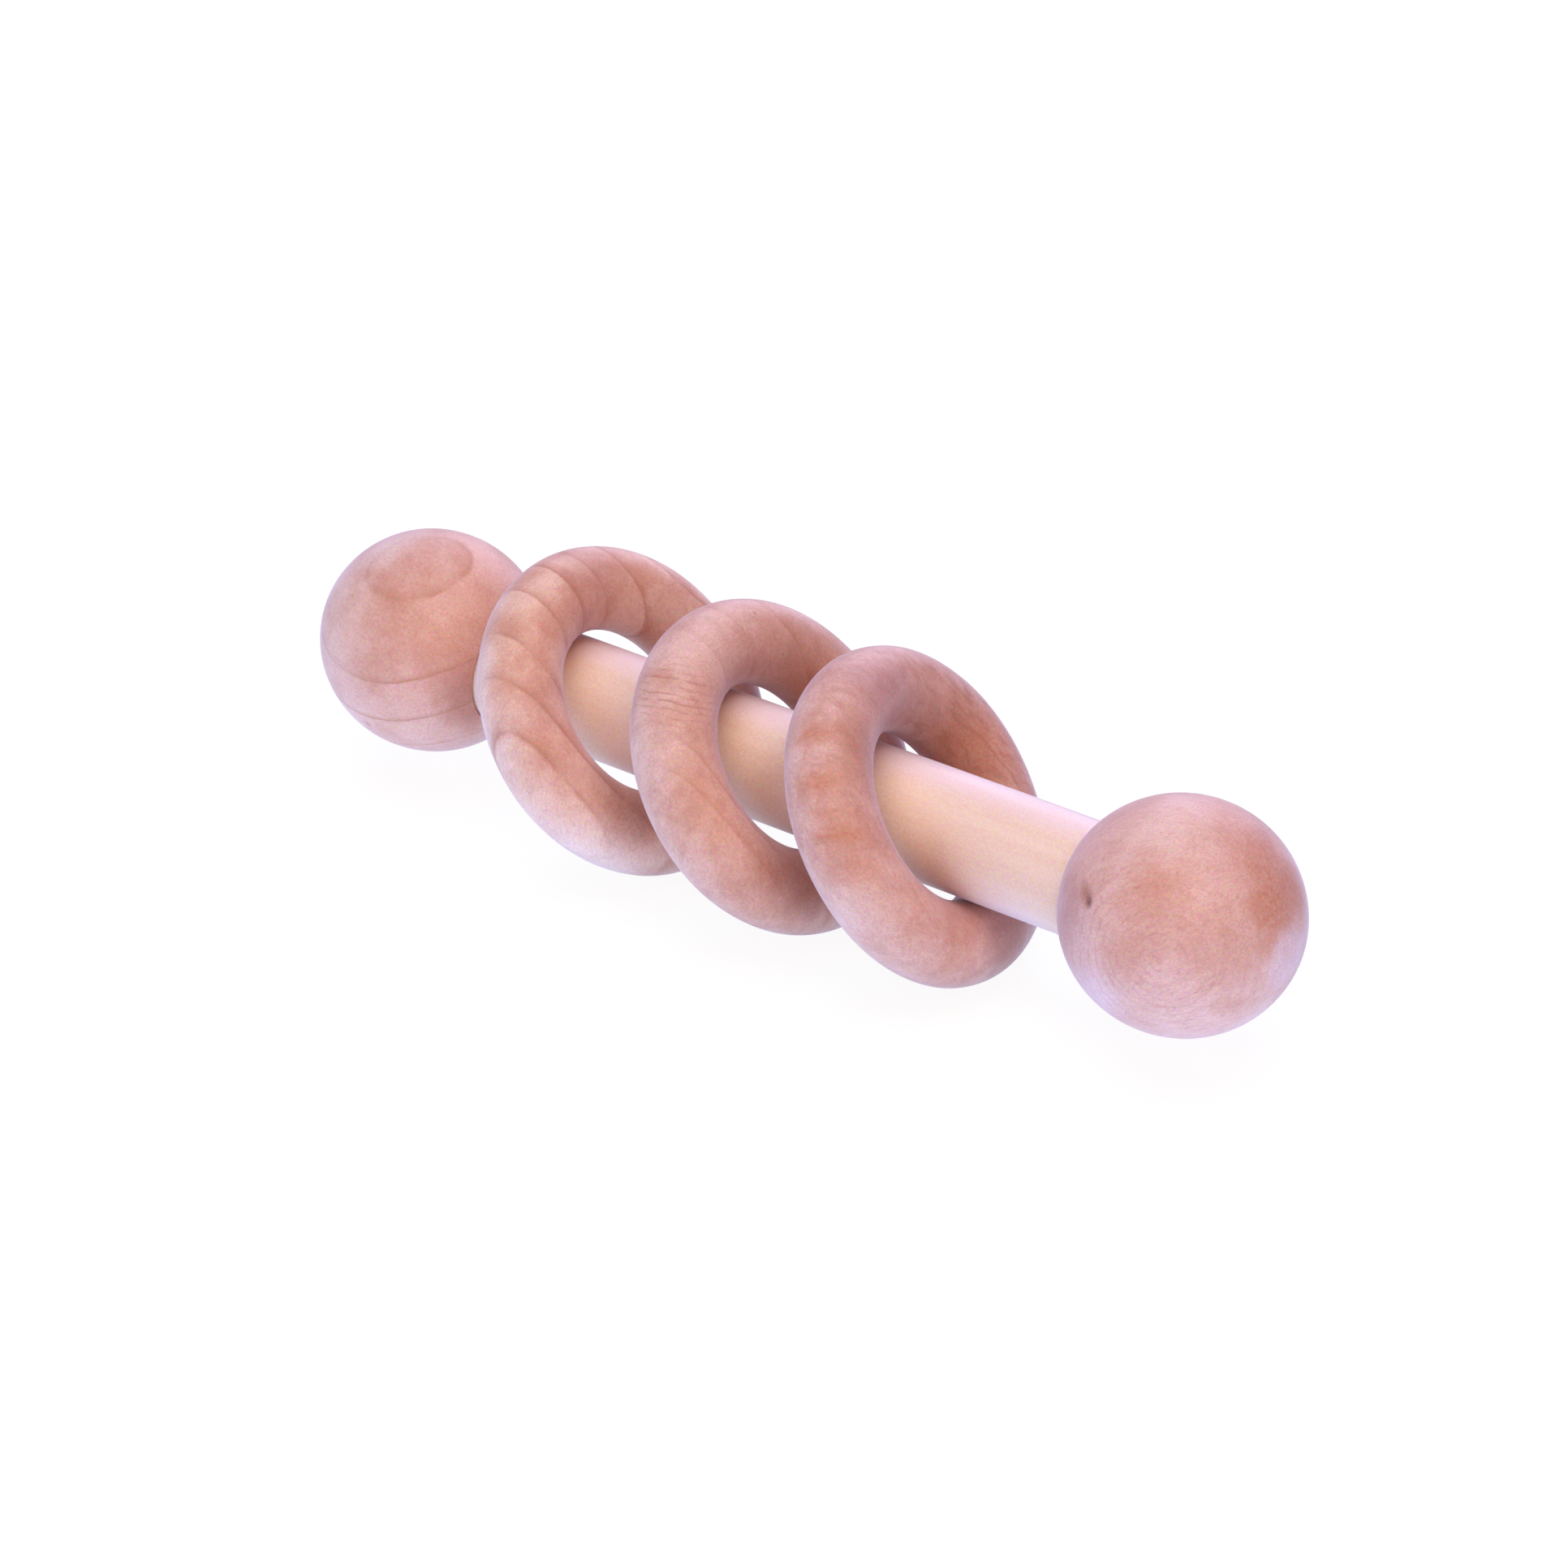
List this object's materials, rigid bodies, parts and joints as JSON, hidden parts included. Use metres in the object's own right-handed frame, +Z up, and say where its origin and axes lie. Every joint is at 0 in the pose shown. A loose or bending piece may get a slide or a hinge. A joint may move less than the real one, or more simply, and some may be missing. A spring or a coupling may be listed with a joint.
{
  "type": "baby rattle",
  "caption": "Wooden baby rattle: a straight dowel handle with a ball glued on each end and loose turned rings that slide and clack along it.",
  "frame": {"origin": "on the table, under the middle of the rattle as it lies on its leaning rings", "axes": "+X along the dowel towards the front ball, +Z up"},
  "size_m": [0.1906, 0.0572, 0.0494],
  "materials": {
    "dowel_wood": "smooth sanded, pale cream",
    "ball_wood": "satin, pinkish tan with fine growth lines",
    "ring_wood": "satin, pinkish tan with growth lines and mottling"
  },
  "bodies": {
    "handle": {"dowel": "dowel_wood", "ball_front": "ball_wood", "ball_back": "ball_wood"},
    "ring_front": {"ring_front": "ring_wood"},
    "ring_middle": {"ring_middle": "ring_wood"},
    "ring_back": {"ring_back": "ring_wood"}
  },
  "joints": [
    {"name": "ring_front_slide", "type": "slide", "parent": "handle", "child": "ring_front", "axis": [1, 0, 0], "range_m": [-0.0041, 0.0162]},
    {"name": "ring_middle_slide", "type": "slide", "parent": "handle", "child": "ring_middle", "axis": [1, 0, 0], "range_m": [-0.0058, 0.0041]},
    {"name": "ring_back_slide", "type": "slide", "parent": "handle", "child": "ring_back", "axis": [1, 0, 0], "range_m": [-0.007, 0.0058]}
  ]
}
